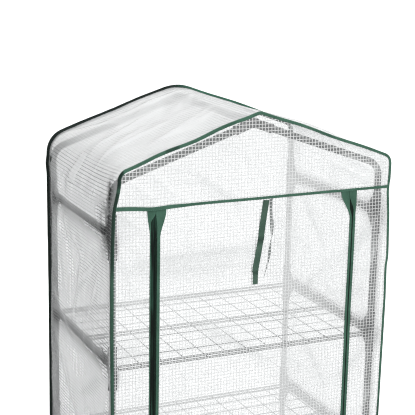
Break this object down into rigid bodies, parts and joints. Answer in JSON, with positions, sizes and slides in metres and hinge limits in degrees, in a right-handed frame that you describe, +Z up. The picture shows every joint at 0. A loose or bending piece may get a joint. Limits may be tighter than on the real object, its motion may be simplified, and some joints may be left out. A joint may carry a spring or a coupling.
{
  "type": "mini greenhouse",
  "caption": "Small tiered greenhouse: tube frame with gabled roof, wire shelves and a reinforced clear film cover with a zipped door, edged in green tape.",
  "frame": {"origin": "middle of the footprint, on the ground", "axes": "+Z up, +X along the front from left to right as seen from the front, the door faces -Y"},
  "size_m": [0.693, 0.4946, 1.2609],
  "materials": {
    "tube": "dark green-black powder coat, semi gloss",
    "connector": "black moulded plastic, glossy",
    "wire": "dark plastic-coated wire, semi gloss",
    "film": "clear reinforced film, hazy, with a white thread grid",
    "binding": "woven green binding tape, stitched",
    "back_binding": "woven dark green binding tape, stitched",
    "zip": "black zip tape and coil between green edges",
    "slider": "black enamelled zip slider",
    "strap": "green woven tie tape"
  },
  "bodies": {
    "frame": {"connector_base_front_left": "connector", "connector_lower_front_left": "connector", "connector_middle_front_left": "connector", "connector_upper_front_left": "connector", "post_lower_front_left": "tube", "post_middle_front_left": "tube", "post_upper_front_left": "tube", "connector_base_front_right": "connector", "connector_lower_front_right": "connector", "connector_middle_front_right": "connector", "connector_upper_front_right": "connector", "post_lower_front_right": "tube", "post_middle_front_right": "tube", "post_upper_front_right": "tube", "connector_base_back_left": "connector", "connector_lower_back_left": "connector", "connector_middle_back_left": "connector", "connector_upper_back_left": "connector", "post_lower_back_left": "tube", "post_middle_back_left": "tube", "post_upper_back_left": "tube", "connector_base_back_right": "connector", "connector_lower_back_right": "connector", "connector_middle_back_right": "connector", "connector_upper_back_right": "connector", "post_lower_back_right": "tube", "post_middle_back_right": "tube", "post_upper_back_right": "tube", "side_rail_base_left": "tube", "side_rail_lower_left": "tube", "side_rail_middle_left": "tube", "side_rail_upper_left": "tube", "side_rail_base_right": "tube", "side_rail_lower_right": "tube", "side_rail_middle_right": "tube", "side_rail_upper_right": "tube", "roof_tube_front_left": "tube", "roof_tube_front_right": "tube", "ridge_connector_front": "connector", "roof_tube_back_left": "tube", "roof_tube_back_right": "tube", "ridge_connector_back": "connector", "ridge_tube": "tube", "cover_sides_roof": "film", "cover_back": "film", "cover_front": "film", "binding_front": "binding", "binding_back": "back_binding", "zip_left": "zip", "zip_right": "zip"},
    "door": {"door_panel": "film"},
    "tie_outer": {"tie_strap_outer": "strap"},
    "tie_inner": {"tie_strap_inner": "strap"},
    "slider_left": {"zip_slider_left": "slider"},
    "slider_right": {"zip_slider_right": "slider"},
    "pull_left": {"zip_pull_left": "slider"},
    "pull_right": {"zip_pull_right": "slider"},
    "upper_shelf": {"shelf_upper": "wire"},
    "middle_shelf": {"shelf_middle": "wire"},
    "lower_shelf": {"shelf_lower": "wire"}
  },
  "joints": [
    {"name": "door_swing", "type": "hinge", "parent": "frame", "child": "door", "pos_m": [0, -0.2417, 1.0615], "axis": [-1, 0, 0], "range_deg": [0, 105]},
    {"name": "tie_outer_swing", "type": "hinge", "parent": "door", "child": "tie_outer", "pos_m": [0.01, -0.2426, 1.0605], "axis": [-1, 0, 0], "range_deg": [0, 60]},
    {"name": "tie_inner_swing", "type": "hinge", "parent": "frame", "child": "tie_inner", "pos_m": [0.04, -0.236, 1.0605], "axis": [1, 0, 0], "range_deg": [0, 40]},
    {"name": "zip_left_slide", "type": "slide", "parent": "frame", "child": "slider_left", "axis": [0, 0, 1], "range_m": [0, 0.93]},
    {"name": "zip_right_slide", "type": "slide", "parent": "frame", "child": "slider_right", "axis": [0, 0, 1], "range_m": [0, 0.93]},
    {"name": "pull_left_flip", "type": "hinge", "parent": "slider_left", "child": "pull_left", "pos_m": [-0.248, -0.2464, 0.047], "axis": [-1, 0, 0], "range_deg": [0, 160]},
    {"name": "pull_right_flip", "type": "hinge", "parent": "slider_right", "child": "pull_right", "pos_m": [0.248, -0.2464, 0.047], "axis": [-1, 0, 0], "range_deg": [0, 160]},
    {"name": "shelf_upper_lift", "type": "slide", "parent": "frame", "child": "upper_shelf", "axis": [0, 0, 1], "range_m": [0, 0.1]},
    {"name": "shelf_middle_lift", "type": "slide", "parent": "frame", "child": "middle_shelf", "axis": [0, 0, 1], "range_m": [0, 0.1]},
    {"name": "shelf_lower_lift", "type": "slide", "parent": "frame", "child": "lower_shelf", "axis": [0, 0, 1], "range_m": [0, 0.1]}
  ]
}
